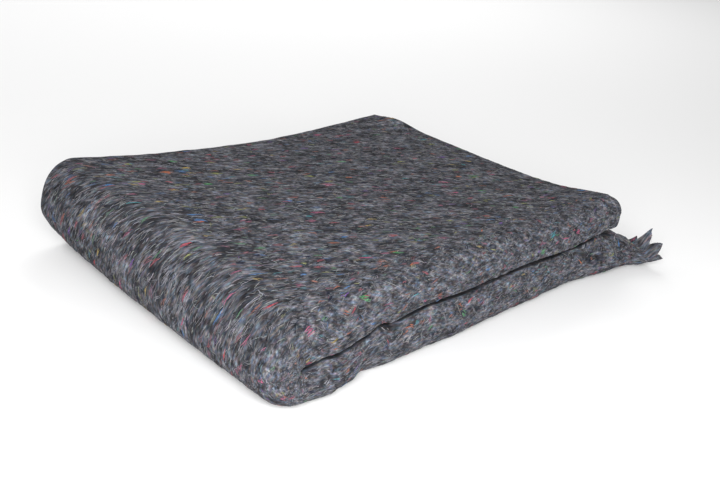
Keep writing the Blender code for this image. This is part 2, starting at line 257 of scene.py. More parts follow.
# How far the foot of the front side swells out or draws in, from the last roll's nose.
FRONT_FOOT = [
    # x      out
    (0.000,  0.0000),
    (0.030,  0.0045),
    (0.062,  0.0070),
    (0.084,  0.0030),
    (0.106, -0.0050),
    (0.122, -0.0020),
    (0.140,  0.0000),
]
# How far the gap between the bundles wanders up or down along the front side.
GAP_RISE = [
    # x      up
    (0.030, -0.0012),
    (0.055, -0.0012),
    (0.073, -0.0040),
    (0.098, -0.0008),
    (0.117,  0.0036),
    (0.132,  0.0000),
    (0.165,  0.0020),
    (0.230, -0.0020),
    (0.320, -0.0004),
    (0.380, -0.0014),
    (0.445,  0.0012),
]
GAP_RISE_FADE = (0.020, 0.120)
# How far the looped ends draw in, at top and underneath.
LOOP_ROUNDING_TOP, LOOP_ROUNDING_UNDER, LOOP_ROUNDING_REACH = 0.012, 0.004, 0.070
CORNER_TUCK = {"left": 0.001, "back": 0.009}
CORNER_TUCK_REACH = {"left": 0.035, "back": 0.033}
BACK_PUFF, BACK_PUFF_IN, BACK_PUFF_REACH = 0.0048, 0.034, 0.030  # beside the back corner
# The last roll's left end leans in at its foot and out at its nose.
LEFT_LEAN = [
    # height of stack   out
    (0.00, -0.0034),
    (0.22, -0.0012),
    (0.50,  0.0044),
    (0.95, -0.0016),
]
LEFT_LEAN_REACH = 0.034      # from the roll's end, and LEFT_LEAN_FADE from its nose
LEFT_LEAN_FADE = (0.020, 0.080)
EDGE_SLIP, EDGE_SLIP_RISE = 0.0035, 0.058        # the edges at the back lie unevenly
FOOT_LOW, FOOT_HIGH = 0.1 * STACK, 0.5 * STACK   # the foot's swelling dies out between
for name, share in CORNER_HEIGHT.items():
    print(f"{name} corner: about {1000 * STACK * share:.0f} mm high")

# %% [markdown]
# ## Creases
# Hands also leave a few short creases where the side roll was pinched. They are too
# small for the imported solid, so they are kept as a table of lines on the roll's face and
# pressed in here only.

# %% Creases in the front side roll
CREASES = [
    # x_from  z_from   x_to    z_to     depth    width
    (0.0340,  0.0395,  0.0420, 0.0335,  0.0022,  0.0020),
    (0.0540,  0.0330,  0.0710, 0.0080,  0.0026,  0.0026),
    (0.1170,  0.0385,  0.1360, 0.0380,  0.0034,  0.0024),
    (0.3800,  0.0390,  0.4400, 0.0224,  0.0032,  0.0030),
    (0.4520,  0.0170,  0.4680, 0.0090,  0.0022,  0.0022),
]
CREASE_FADE = (0.012, 0.040)     # from the side roll's nose inwards


def pressed(x, y, z):
    """How far the creases press the side roll's face in."""
    depth = np.zeros_like(x)
    for x_from, z_from, x_to, z_to, deep, wide in CREASES:
        run, rise = x_to - x_from, z_to - z_from
        share = ((x - x_from) * run + (z - z_from) * rise) / (run ** 2 + rise ** 2)
        share = np.clip(share, 0.0, 1.0)
        away = (x - x_from - share * run) ** 2 + (z - z_from - share * rise) ** 2
        depth = depth + deep * np.exp(-away / wide ** 2)
    return depth * (1 - smooth(y, *CREASE_FADE))


print("creases:", len(CREASES))

# %% [markdown]
# With all its numbers named, the even stack is laid in one go. The order matters: the
# creases and the gap first, while the layers are still level, then the loose end, then
# the heights, and last what moves sideways.

# %% Lay the stack
def close_gap(x, y, z):
    """Lean the two bundles together along the side rolls, less towards the open end."""
    amount = GAP_CLOSING * (1 - smooth(y, *GAP_CLOSED_TO))
    amount = amount * (1 - smooth(x, LENGTH - GAP_OPENED[0], LENGTH - GAP_OPENED[1]))
    levels = [0.0, BUNDLE, BUNDLE + BUNDLE_GAP, STACK]
    return z + amount * np.interp(z, levels, [0.0, 1.0, -1.0, 0.0])


def lay(x, y, z):
    """Give the even stack its uneven heights, soft corners and bowed sides."""
    y = y + pressed(x, y, z)
    z = close_gap(x, y, z)
    s, t = np.clip(x / LENGTH, 0.0, 1.0), np.clip(y / WIDTH, 0.0, 1.0)
    mid_s, mid_t = 4 * s * (1 - s), 4 * t * (1 - t)
    y, z = open_tongue(x, y, z)
    share = z / STACK
    shift = LOWER_SHARE["front"] * (1 - s) + LOWER_SHARE["middle"] * mid_s
    shift = (shift + LOWER_SHARE["right"] * s) * (1 - t)
    step = eased(x, GAP_RISE) * (1 - smooth(y, *GAP_RISE_FADE))
    z = z + (2 * shift * STACK + 4 * step) * share * (1 - share)
    height = (CORNER_HEIGHT["front"] * (1 - s) * (1 - t) + CORNER_HEIGHT["left"] * (1 - s) * t
              + CORNER_HEIGHT["back"] * s * t + CORNER_HEIGHT["right"] * s * (1 - t))
    rise = (SIDE_RISE["roll"] * mid_t * (1 - s) + SIDE_RISE["front"] * mid_s * (1 - t)
            + SIDE_RISE["back"] * mid_s * t + SIDE_RISE["open"] * mid_t * s)
    corner = ((x - LENGTH) ** 2 + y ** 2) / RIGHT_PUFF_REACH ** 2
    rise = rise + RIGHT_PUFF * np.exp(-corner)
    behind = ((LENGTH - x) ** 2 + (WIDTH - BACK_PUFF_IN - y) ** 2) / BACK_PUFF_REACH ** 2
    rise = rise + BACK_PUFF * np.exp(-behind)
    upper = np.clip(2 * (z - BUNDLE - BUNDLE_GAP / 2) / BUNDLE - 1, -0.98, 0.98)
    rounding = np.where(upper > 0, LOOP_ROUNDING_TOP, LOOP_ROUNDING_UNDER)
    rounding = rounding * (1 - np.sqrt(1 - upper ** 2)) * (z > BUNDLE)
    in_x = rounding * smooth(x, LENGTH - LOOP_ROUNDING_REACH, LENGTH)
    bow_x = mid_t * (SIDE_BOW["roll"] * (1 - s) + SIDE_BOW["open"] * s)
    bow_y = mid_s * (SIDE_BOW["front"] * (1 - t) + SIDE_BOW["back"] * t)
    bulge = eased(x, FRONT_FOOT) * (1 - t) ** 4 * (1 - smooth(z, FOOT_LOW, FOOT_HIGH))
    from_left = (x ** 2 + (WIDTH - y) ** 2) / CORNER_TUCK_REACH["left"] ** 2
    from_back = ((LENGTH - x) ** 2 + (WIDTH - y) ** 2) / CORNER_TUCK_REACH["back"] ** 2
    tuck_left = CORNER_TUCK["left"] * np.exp(-from_left)
    tuck_back = CORNER_TUCK["back"] * np.exp(-from_back)
    lean = eased(share, LEFT_LEAN) * np.exp(-((WIDTH - y) / LEFT_LEAN_REACH) ** 2)
    lean = lean * (1 - smooth(x, *LEFT_LEAN_FADE))
    slip = EDGE_SLIP * t ** 6 * np.sin(2 * math.pi * z / EDGE_SLIP_RISE + 9 * x)
    new_x = x + bow_x - in_x - lean + tuck_left - tuck_back
    new_y = y + bow_y - bulge - tuck_left - tuck_back + slip
    return new_x, new_y, z * (height + rise / STACK)


middle = lay(np.array([LENGTH / 2]), np.array([WIDTH / 2]), np.array([STACK]))
print(f"the middle of the top is {1000 * middle[2][0]:.0f} mm up")

# %% [markdown]
# ## Lumps in the felt
# Punched felt isn't smooth: tufts stand up a little between the needle holes, and they
# are drawn out along the way the fibres lie. That relief is in the mesh, down to lumps of
# half a centimetre, and only finer grain is left to the material. The heights come from
# smoothed tables of seeded random numbers, so they are the same on every run.

# %% Lumps: soft random hills, drawn out along the fibres
FIBRE_TURN = math.radians(31.0)   # from the sheet's length, the way most fibres lie
HILL_TABLE = 256                  # heights each way before they repeat
LUMPS = [
    # size    drawn_out  height   seed
    (0.0480,  1.3,       0.00060, 11),
    (0.0130,  2.4,       0.00042, 12),
    (0.0060,  2.6,       0.00030, 13),
]


def hills(a, b, size, drawn_out, seed):
    """Random heights between -1 and 1, size metres apart across the fibres."""
    cos, sin = math.cos(FIBRE_TURN), math.sin(FIBRE_TURN)
    p, q = (a * cos + b * sin) / (size * drawn_out), (b * cos - a * sin) / size
    table = np.random.default_rng(seed).uniform(-1.0, 1.0, (HILL_TABLE, HILL_TABLE))
    i, j = np.floor(p).astype(int), np.floor(q).astype(int)
    f, g = smooth(p - i, 0, 1), smooth(q - j, 0, 1)
    i, j, next_i, next_j = (place % HILL_TABLE for place in (i, j, i + 1, j + 1))
    near = table[i, j] * (1 - f) + table[next_i, j] * f
    far = table[i, next_j] * (1 - f) + table[next_i, next_j] * f
    return near * (1 - g) + far * g


def lumps(a, b):
    """Height of the felt's outer face over its own middle."""
    return sum(height * hills(a, b, size, drawn, seed) for size, drawn, height, seed in LUMPS)


print(f"lumps up to {1000 * sum(height for _, _, height, _ in LUMPS):.1f} mm high")

# %% [markdown]
# ## The grid of the flat sheet
# The cloth that shows needs small faces, the layers inside don't. So the sheet's outer
# face has a fine grid over the top and the rolls, and its inner face a coarse one. Each
# piece of the grid is given as coarse cells and how many fine ones go in each, which
# keeps every coarse line on a fine line, and the two faces can be joined at the rim.

# %% Lines of the grid
ROLL_START, ROLL_END = LAST_FOLD - LAST_ARC / 2, LAST_FOLD + LAST_ARC / 2
SIDE_START, SIDE_END = QUARTER_WIDTH - SIDE_ARC / 2, QUARTER_WIDTH + SIDE_ARC / 2
LOOP_START = HALF_LENGTH - LOOP_ARC / 2
EDGE_START = HALF_WIDTH - EDGE_ARC / 2
FIRST_ROW = 0.012                 # the first full row behind the teeth
JUST = 0.001                      # keeps a comparison clear of rounding

ALONG_CELLS = [
    # start      end          coarse  fine
    (FIRST_ROW,  0.090,       13,     2),
    (0.090,      ROLL_START,  20,     7),
    (ROLL_START, ROLL_END,    12,     3),
    (ROLL_END,   LOOP_START,  26,     6),
    (LOOP_START, HALF_LENGTH, 3,      2),
]
ACROSS_CELLS = [
    # start                     end                         coarse  fine
    (0.0,                       SIDE_START - SIDE_ROWS[2],  10,     6),
    (SIDE_START - SIDE_ROWS[2], SIDE_START - SIDE_ROWS[1],  4,      5),
    (SIDE_START - SIDE_ROWS[1], SIDE_START - SIDE_ROWS[0],  3,      3),
    (SIDE_START - SIDE_ROWS[0], SIDE_START,                 3,      3),
    (SIDE_START,                SIDE_END,                   12,     3),
    (SIDE_END,                  SIDE_END + SIDE_ROWS[0],    3,      2),
    (SIDE_END + SIDE_ROWS[0],   SIDE_END + SIDE_ROWS[1],    3,      1),
    (SIDE_END + SIDE_ROWS[1],   SIDE_END + SIDE_ROWS[2],    4,      1),
    (SIDE_END + SIDE_ROWS[2],   SIDE_END + SIDE_ROWS[3],    6,      1),
    (SIDE_END + SIDE_ROWS[3],   EDGE_START,                 4,      1),
    (EDGE_START,                HALF_WIDTH,                 3,      1),
]


def lines(cells, whole, fine_to):
    """Coarse and fine lines from 0 to whole; those past fine_to aren't split."""
    coarse, split = [cells[0][0]], [cells[0][0]]
    for start, end, count, parts in cells:
        parts = parts if start < fine_to else 1
        for step in range(1, count + 1):
            coarse.append(start + (end - start) * step / count)
        for step in range(1, count * parts + 1):
            split.append(start + (end - start) * step / (count * parts))
    mirrored = [whole - line for line in reversed(coarse[:-1])]
    return coarse + mirrored, split + mirrored


along_coarse, along_fine = lines(ALONG_CELLS, FLAT_LENGTH, HALF_LENGTH)
across_coarse, across_fine = lines(ACROSS_CELLS, FLAT_WIDTH, HALF_WIDTH)
only_roll = [(start, end, count, parts if start > SIDE_START - SIDE_ROWS[1] - JUST else 1)
             for start, end, count, parts in ACROSS_CELLS]
across_side = lines(only_roll, FLAT_WIDTH, HALF_WIDTH)[1]
print("lines along:", len(along_fine), "across:", len(across_fine), len(across_coarse))

# %% [markdown]
# ## Cutting the sheet
# The sheet is made in mesh code, face by face, because it is a cut thing: a grid, two
# zigzag ends and two straight edges. Where a fine row meets a coarse one, one many-sided
# face takes up the difference and is cut into triangles at the end.

# %% Rows, strips and the pinked ends
def key(value):
    return round(value * 1e6)


def fill_strip(sheet, few, few_lines, many, many_lines, turned=False):
    """Faces between a coarse row and a finer one that has all its lines."""
    found = {key(line): place for place, line in enumerate(many_lines)}
    for cell in range(len(few_lines) - 1):
        first, last = found[key(few_lines[cell])], found[key(few_lines[cell + 1])]
        corners = [few[cell]] + many[first:last + 1] + [few[cell + 1]]
        sheet.faces.new(corners[::-1] if turned else corners)


TOOTH_FLAT = [0.0, SIDE_START, SIDE_END]
TOOTH_FLAT += [FLAT_WIDTH - SIDE_END, FLAT_WIDTH - SIDE_START, FLAT_WIDTH]
TOOTH_EXTRA = [0.0, 0.0, SIDE_ARC, SIDE_ARC, 2 * SIDE_ARC, 2 * SIDE_ARC]
TOOTH_WIDTHS = [place + extra for place, extra in zip(TOOTH_FLAT, TOOTH_EXTRA)]
TOOTH_PITCH = TOOTH_WIDTHS[-1] / TOOTH_COUNT


def tooth_depth(across):
    """Depth of the zigzag. Side rolls stretch the cloth, so teeth are narrower there."""
    phase = (np.interp(across, TOOTH_FLAT, TOOTH_WIDTHS) / TOOTH_PITCH) % 1.0
    return TOOTH_DEPTH * np.abs(2 * phase - 1)


def pinked_outline(across_lines):
    """(across, depth) points of one pinked end: every tooth point and every grid line."""
    places = {key(line): line for line in across_lines}
    for half_tooth in range(2 * TOOTH_COUNT + 1):
        place = float(np.interp(half_tooth * TOOTH_PITCH / 2, TOOTH_WIDTHS, TOOTH_FLAT))
        places.setdefault(key(place), place)
    outline = [places[name] for name in sorted(places)]
    return list(zip(outline, tooth_depth(np.array(outline)).tolist()))


print(f"teeth: {TOOTH_COUNT}, {1000 * TOOTH_PITCH:.1f} mm apart")

# %% [markdown]
# Two such faces, a fine one below and a coarse one above, are joined along the straight
# edges and the pinked ends. That makes one closed sheet with the felt's own thickness.

# %% The flat sheet, its outer face below and its inner face above
def face_rows(sheet, along, sets, height):
    """Rows of vertices, each with its own set of lines across, joined into faces."""
    rows = []
    for line in along:
        across = next(lines_across for limit, lines_across in sets if line < limit)
        rows.append((across, [sheet.verts.new((line, place, height)) for place in across]))
    for (few_lines, few), (many_lines, many) in zip(rows, rows[1:]):
        if len(few_lines) <= len(many_lines):
            fill_strip(sheet, few, few_lines, many, many_lines)
        else:
            fill_strip(sheet, many, many_lines, few, few_lines, turned=True)
    return rows


def flat_sheet():
    """The sheet as it is cut, lying flat: X along its length, Y across it."""
    sheet = bmesh.new()
    rest = (2 * FLAT_LENGTH, across_coarse)
    sets = [(ROLL_START - JUST, across_side), (HALF_LENGTH + JUST, across_fine), rest]
    outer = face_rows(sheet, along_fine, sets, 0.0)
    inner = face_rows(sheet, along_coarse, [rest], FELT)
    for end, inward, place in ((0.0, 1.0, 0), (FLAT_LENGTH, -1.0, -1)):
        outline = pinked_outline(outer[place][0])
        names = [across for across, depth in outline]
        low = [sheet.verts.new((end + inward * depth, across, 0.0)) for across, depth in outline]
        high = [sheet.verts.new((end + inward * depth, across, FELT)) for across, depth in outline]
        fill_strip(sheet, outer[place][1], outer[place][0], low, names)
        fill_strip(sheet, inner[place][1], inner[place][0], high, names)
        fill_strip(sheet, high, names, low, names)
        for side in (0, -1):
            sheet.faces.new((low[side], high[side], inner[place][1][side], outer[place][1][side]))
    for side in (0, -1):
        inner_edge, outer_edge = [row[1][side] for row in inner], [row[1][side] for row in outer]
        fill_strip(sheet, inner_edge, along_coarse, outer_edge, along_fine)
    bmesh.ops.recalc_face_normals(sheet, faces=sheet.faces)
    bmesh.ops.triangulate(sheet, faces=[face for face in sheet.faces if len(face.verts) > 4])
    return sheet


print("rows of the fine face:", len(along_fine), "and of the coarse one:", len(along_coarse))

# %% [markdown]
# ## Measuring the outer face
# Felt that goes round a fat roll is stretched on the outside. The fibres and the pattern
# are laid out in true lengths along that outer face, or they would smear at the rolls.
# So the face is walked once along its length and once across, and the lengths are kept.

# %% Folding the points, and true lengths
def placed(along, across, up):
    """Flat sheet to the laid stack, in the frame's own place."""
    x, y, z = lay(*fold(along, across, up))
    return np.stack((x - STACK_MIDDLE[0], y - STACK_MIDDLE[1], z), axis=1)


def walked(along, across):
    """Length walked from the first point to each of the others."""
    steps = np.diff(placed(along, across, np.zeros_like(along)), axis=0)
    return np.concatenate(([0.0], np.cumsum(np.linalg.norm(steps, axis=1))))


walk_along = np.array([0.0] + along_fine + [FLAT_LENGTH])
walk_across = np.array(across_fine)
LEVEL_ACROSS, LEVEL_ALONG = 0.20, 0.75       # the two lines that are walked
length_along = walked(walk_along, np.full_like(walk_along, LEVEL_ACROSS))
length_across = walked(np.full_like(walk_across, LEVEL_ALONG), walk_across)


def to_true(along, across):
    return np.interp(along, walk_along, length_along), np.interp(across, walk_across, length_across)


def to_flat(a, b):
    return np.interp(a, length_along, walk_along), np.interp(b, length_across, walk_across)


print(f"outer face: {length_along[-1]:.3f} m along, {length_across[-1]:.3f} m across")

# %% [markdown]
# The lumps belong on this outer face, and only where the felt is free to stand up. It is
# pressed flat where it rests on the floor and where it goes in between the layers.

# %% The lumpy outer face
# Where the outer face leaves the floor, and where it meets the layers inside.
OFF_FLOOR_ALONG = (ROLL_START - 0.030, ROLL_START + 0.012)
OFF_FLOOR_ACROSS = (SIDE_START - 0.030, SIDE_START + 0.006)
INTO_GAP, INTO_LOOPS = (SIDE_END - 0.006, SIDE_END), (HALF_LENGTH, HALF_LENGTH + 0.010)
PRESSED_FLAT = 0.7         # the share of its lumps that the felt loses between layers


def outside(along, across, lift=0.0):
    """Points on the outer face, lifted off it. It is flat where it touches something."""
    a, b = to_true(along, across)
    resting = (1 - smooth(along, *OFF_FLOOR_ALONG)) * (1 - smooth(across, *OFF_FLOOR_ACROSS))
    between = smooth(across, *INTO_GAP) + smooth(along, *INTO_LOOPS)
    free = (1 - resting) * (1 - np.minimum(between, PRESSED_FLAT))
    points = placed(along, across, -(lumps(a, b) * free + lift))
    points[:, 2] = np.maximum(points[:, 2], 0.0)
    return points


top = outside(np.array([LEVEL_ALONG]), np.array([LEVEL_ACROSS]))
print(f"the felt is {1000 * top[0, 2]:.1f} mm up where the two walks cross")

# %% [markdown]
# ## The way the fibres lie
# Most fibres lie one way, because the web was combed before it was punched. On the top
# they have been ruffled since, and round the last roll the cloth is drawn tight and they
# lie straight and parallel. So every place on the cloth gets a grain: how far along the
# fibres it is, and how far across them, with a small wander. The felt's pattern and the
# loose fibres both follow it, so the two never disagree.

# %% The grain
ROLL_TURN = 0.65           # how far the fibres turn to go straight round the last roll
CURL, CURL_SIZE, CURL_DRAWN, CURL_SEED = 0.0016, 0.017, 1.4, 14
ROLL_TOP = float(np.interp(ROLL_END, walk_along, length_along))
COMBED_FROM, COMBED_TO = ROLL_TOP - 0.025, ROLL_TOP + 0.035


def combed(a):
    """1 round the last roll, where the fibres are drawn straight, 0 on the top."""
    return 1 - smooth(a, COMBED_FROM, COMBED_TO)


def grain(a, b):
    """Place along and across the fibres, in metres. Lines of equal q follow the fibres."""
    turned = a + ROLL_TURN * smooth(b, 0.05, 0.30) * np.maximum(0.0, ROLL_TOP - a)
    p = a * math.cos(FIBRE_TURN) + b * math.sin(FIBRE_TURN)
    q = b * math.cos(FIBRE_TURN) - turned * math.sin(FIBRE_TURN)
    return p, q + CURL * hills(a, b, CURL_SIZE, CURL_DRAWN, CURL_SEED)


print(f"the grain turns round the last roll, up to {1000 * ROLL_TOP:.0f} mm along")

# %% [markdown]
# ## Painted shade in the gap
# Between the bundles and in the creases the fibres shade one another almost to black.
# They are finer than the mesh, so that shade is painted into the felt's colour. It is
# worked out from the place on the cloth, as a number from 0 to 1.

# %% How deep a place lies in a gap, for its painted shade
# The painted shade sets in across the gap's lip, and stops before the edges and both open ends.
GAP_LIP, GAP_EDGE = (SIDE_END - 0.0032, SIDE_END + 0.0004), (EDGE_START - 0.030, EDGE_START)
GAP_CUT_END, GAP_LOOP_END = (0.055, 0.075), (LOOP_START - 0.030, LOOP_START - 0.010)
CREASE_SHADE, CREASE_FULL = 0.6, 0.0026      # the painted shade of a crease, reached at this depth


def painted_gap_shade(along, across):
    """Painted shade: 1 in the gap between the bundles, less in a crease, 0 on the faces that show.
    """
    gap = smooth(across, *GAP_LIP) * (1 - smooth(across, *GAP_EDGE))
    gap = gap * smooth(along, *GAP_CUT_END) * (1 - smooth(along, *GAP_LOOP_END))
    depth = pressed(*fold(along, across, np.zeros_like(along)))
    return np.maximum(gap, CREASE_SHADE * np.minimum(depth / CREASE_FULL, 1.0))


lip = painted_gap_shade(np.array([LAST_FOLD, LAST_FOLD]), np.array(GAP_LIP))
print("shade before and behind the gap's lip:", lip.round(2))

# %% [markdown]
# ## Folding the sheet
# Now the flat mesh goes through the folds, and keeps three things for its material: its
# true lengths and its grain as UV maps, and the painted shade of the gap at each corner.

# %% Fold the sheet
SHARP_EDGE = math.radians(50)     # the felt's cut edges stay sharp, its lumps don't


def fold_sheet(title):
    """Make the sheet's mesh, keep what its material reads, and fold it."""
    sheet = flat_sheet()
    mesh = bpy.data.meshes.new(title)
    sheet.to_mesh(mesh)
    sheet.free()
    flat = np.empty(len(mesh.vertices) * 3, dtype=np.float32)
    mesh.vertices.foreach_get("co", flat)
    flat = flat.reshape(-1, 3).astype(float)
    along, across, up = flat.T
    points = np.where((up > FELT / 2)[:, None], placed(along, across, up), outside(along, across))
    corner_vertex = np.empty(len(mesh.loops), dtype=np.int32)
    mesh.loops.foreach_get("vertex_index", corner_vertex)
    true = to_true(along, across)
    for name, places in (("cloth", true), ("grain", grain(*true))):
        places = np.stack(places, axis=1)[corner_vertex].astype(np.float32)
        mesh.uv_layers.new(name=name).uv.foreach_set("vector", places.ravel())
    # the painted shade of the gap and the creases, kept as the attribute gap
    gap = painted_gap_shade(along, across).astype(np.float32)
    mesh.attributes.new("gap", "FLOAT", "POINT").data.foreach_set("value", gap)
    mesh.vertices.foreach_set("co", points.astype(np.float32).ravel())
    mesh.shade_smooth()
    mesh.set_sharp_from_angle(angle=SHARP_EDGE)
    mesh.update()
    folded = bpy.data.objects.new(title, mesh)
    bpy.context.scene.collection.objects.link(folded)
    return folded


blanket = fold_sheet("folded_felt")
print("folded felt:", sum(len(face.vertices) - 2 for face in blanket.data.polygons), "triangles")

# %% [markdown]
# ## Helpers for materials
# A material is a chain of small nodes. A few helpers, one for each kind of node that is
# used often, keep what follows as short as a recipe.

# %% Small helpers for shader nodes
def add_node(tree, kind, inputs=None, **settings):
    """Add a node, set its settings, and set or link its inputs."""
    made = tree.nodes.new(kind)
    for name, value in settings.items():
        setattr(made, name, value)
    for name, value in (inputs or {}).items():
        if isinstance(value, bpy.types.NodeSocket):
            tree.links.new(value, made.inputs[name])
        else:
            made.inputs[name].default_value = value
    return made


def fibre_noise(tree, place, length, width, detail, seed):
    """Noise drawn out to length by width, along the first direction of a UV map."""
    laid = add_node(tree, "ShaderNodeMapping", {
        "Vector": place, "Location": (seed * 0.37, seed * 0.91, 0.0),
        "Scale": (length, width, 1.0)}, vector_type="TEXTURE")
    return add_node(tree, "ShaderNodeTexNoise", {
        "Vector": laid.outputs["Vector"], "Scale": 1.0,
        "Detail": detail, "Roughness": 0.6}, noise_dimensions="2D")


def maths(tree, operation, *values):
    return add_node(tree, "ShaderNodeMath", dict(enumerate(values)), operation=operation).outputs[0]


def mixed_value(tree, share, first, second):
    """The first value where the share is 0, the second where it is 1."""
    inputs = {"Factor": share, "A": first, "B": second}
    return add_node(tree, "ShaderNodeMix", inputs, data_type="FLOAT").outputs["Result"]


def mixed_colour(tree, share, first, second, blend="MIX"):
    inputs = {"Factor": share, "A": first, "B": second}
    return add_node(tree, "ShaderNodeMix", inputs, data_type="RGBA", blend_type=blend).outputs[2]


def scaled(tree, colour, by):
    """A colour made brighter or darker by a value."""
    made = add_node(tree, "ShaderNodeVectorMath", {0: colour, "Scale": by}, operation="SCALE")
    return made.outputs["Vector"]


def stepped(tree, value, from_to, to, soft="LINEAR"):
    """A value carried from one range to another."""
    inputs = {"Value": value, "From Min": from_to[0], "From Max": from_to[1],
              "To Min": to[0], "To Max": to[1]}
    made = add_node(tree, "ShaderNodeMapRange", inputs, interpolation_type=soft)
    return made.outputs["Result"]


def coloured(tree, value, stops):
    """A colour ramp from rows of place, red, green, blue."""
    made = add_node(tree, "ShaderNodeValToRGB", {"Fac": value})
    ramp = made.color_ramp.elements
    while len(ramp) < len(stops):
        ramp.new(0.5)
    for stop, (place, *colour) in zip(ramp, stops):
        stop.position, stop.color = place, (*colour, 1.0)
    return made.outputs["Color"]


print("node helpers: noise, maths, mix, scale, range and ramp")

# %% [markdown]
# ## The felt
# Seen close, the felt is streaks of grey: dark hollows, mid-grey mat and pale fibres,
# some millimetres long and two or three wide. The dark hollows are partly dark fibres and
# partly painted shade, put in the felt's colour where its relief is low. Noise drawn out
# along the fibres gives such streaks, and because it reads the sheet's own UV maps, in
# metres, it goes with the cloth over every roll. Round the last roll, where the cloth is
# combed straight, the streaks are longer and thinner. At the side rolls the needle rows
# run along the roll and break them into short dashes that lie the other way. Broader noise
# under the streaks makes the cloudy patches that an uneven web leaves. Each grey gets a
# faint cast of the rags' dyes, and the painted shade in the gap is made ragged by the same
# dashes, as stray fibres would.

# %% The felt material
SIDE_MIDDLE = float(np.interp(QUARTER_WIDTH, walk_across, length_across))
# the darkest greys go where the relief is low: partly the dark fibres' own grey, partly painted
# shade of the hollows between the fibres
FELT_GREYS = [
    # place  red     green   blue
    (0.34,   0.008,  0.008,  0.011),
    (0.44,   0.027,  0.0275, 0.033),
    (0.51,   0.056,  0.057,  0.068),
    (0.58,   0.104,  0.106,  0.125),
    (0.67,   0.220,  0.225,  0.258),
]
CASTS = [
    # place  red     green   blue
    (0.32,   0.37,   0.515,  0.66),
    (0.68,   0.64,   0.50,   0.34),
]
STREAKS = {
    # name      map      length   width   detail  seed
    "ruffled": ("grain", 0.0044,  0.0029, 3.0,    1),      # on the top
    "drawn":   ("grain", 0.0100,  0.0021, 3.0,    6),      # round the last roll
    "dash":    ("cloth", 0.0046,  0.0024, 3.0,    4),      # round the side rolls
    "broad":   ("grain", 0.0150,  0.0080, 2.0,    2),      # tufts of the web
    "patch":   ("grain", 0.0460,  0.0200, 2.0,    3),      # clouds of the web
    "dyes":    ("grain", 0.0080,  0.0018, 1.0,    5),      # casts of colour
}
STREAK_SHARE, BROAD_SHARE, PATCH_SHARE = 0.38, 0.35, 0.27
DASHES_FADE, DASHES_MOST = (0.075, 0.025), 0.8   # from the side roll's middle, and share
DASHES_GAIN, DASHES_LESS = 1.35, -0.175      # the dashes stand out more than the streaks
DYES_MIXED, TINT = 0.35, 0.60        # how mixed the casts are, and how strongly they tint
RAGGED, RAGGED_LESS = 1.2, -0.6      # how the dashes fray the edge of the painted shade in the gap
SHADED, SHADE_LEFT = (0.35, 0.70), 0.32      # where the painted shade sets in, and the light it leaves
RELIEF, RELIEF_STRENGTH = 0.0012, 0.7        # of the streaks, as bumps


def felt_material():
    """Streaky grey felt, drawn from the sheet's own UV map."""
    felt = bpy.data.materials.new("streaked_grey_felt")
    felt.use_nodes = True
    tree = felt.node_tree
    shader = tree.nodes["Principled BSDF"]
    maps = {name: add_node(tree, "ShaderNodeUVMap", uv_map=name).outputs["UV"]
            for name in ("cloth", "grain")}
    noise = {name: fibre_noise(tree, maps[read], *sizes).outputs
             for name, (read, *sizes) in STREAKS.items()}

    place = add_node(tree, "ShaderNodeSeparateXYZ", {0: maps["cloth"]}).outputs
    at_roll = stepped(tree, place["X"], (COMBED_TO, COMBED_FROM), (0.0, 1.0), "SMOOTHSTEP")
    off_middle = maths(tree, "ABSOLUTE", maths(tree, "SUBTRACT", place["Y"], SIDE_MIDDLE))
    at_side = stepped(tree, off_middle, DASHES_FADE, (0.0, DASHES_MOST), "SMOOTHSTEP")
    dashes = maths(tree, "MULTIPLY_ADD", noise["dash"]["Fac"], DASHES_GAIN, DASHES_LESS)
    streaks = mixed_value(tree, at_roll, noise["ruffled"]["Fac"], noise["drawn"]["Fac"])
    streaks = mixed_value(tree, at_side, streaks, dashes)
    patches = mixed_value(tree, at_side, noise["patch"]["Fac"], 0.5)
    height = maths(tree, "MULTIPLY", noise["broad"]["Fac"], BROAD_SHARE)
    height = maths(tree, "MULTIPLY_ADD", streaks, STREAK_SHARE, height)
    height = maths(tree, "MULTIPLY_ADD", patches, PATCH_SHARE, height)

    cast = coloured(tree, noise["dyes"]["Fac"], CASTS)
    cast = mixed_colour(tree, DYES_MIXED, cast, noise["dyes"]["Color"])
    tinted = mixed_colour(tree, TINT, coloured(tree, height, FELT_GREYS), cast, "OVERLAY")
    # painted shade: the felt's colour is darkened in the gap and the creases, by the attribute gap
    gap = add_node(tree, "ShaderNodeAttribute", attribute_name="gap").outputs["Fac"]
    ragged = maths(tree, "MULTIPLY_ADD", noise["dash"]["Fac"], RAGGED, RAGGED_LESS)
    light_left = stepped(tree, maths(tree, "ADD", gap, ragged), SHADED, (1.0, SHADE_LEFT))
    tree.links.new(scaled(tree, tinted, light_left), shader.inputs["Base Color"])
    relief = {"Height": height, "Strength": RELIEF_STRENGTH, "Distance": RELIEF}
    bump = add_node(tree, "ShaderNodeBump", relief)
    tree.links.new(bump.outputs["Normal"], shader.inputs["Normal"])
    shader.inputs["Roughness"].default_value = 0.95
    shader.inputs["Specular IOR Level"].default_value = 0.15
    return felt


blanket.data.materials.append(felt_material())
print("felt nodes:", len(blanket.data.materials[0].node_tree.nodes))

# %% [markdown]
# ## Loose fibres
# What makes felt look like felt, and not like stone, is the fibres that lie loose on its
# face and catch the light one by one. One fibre is modelled as by hand: a thin
# three-sided rod, its ends drawn out to points. It is then laid thousands of times over
# the outer face, each copy with its own place, turn, length and bend. The copies are
# put through the fold rule like the cloth itself, so they go round the rolls with it.

# %% One fibre, lying along X, one unit long
ROD, POINT = 0.4, 0.3      # the even middle and each drawn-out end, as shares of a fibre
POINTED = 0.25             # thickness of a fibre's tip, as a share of its middle's


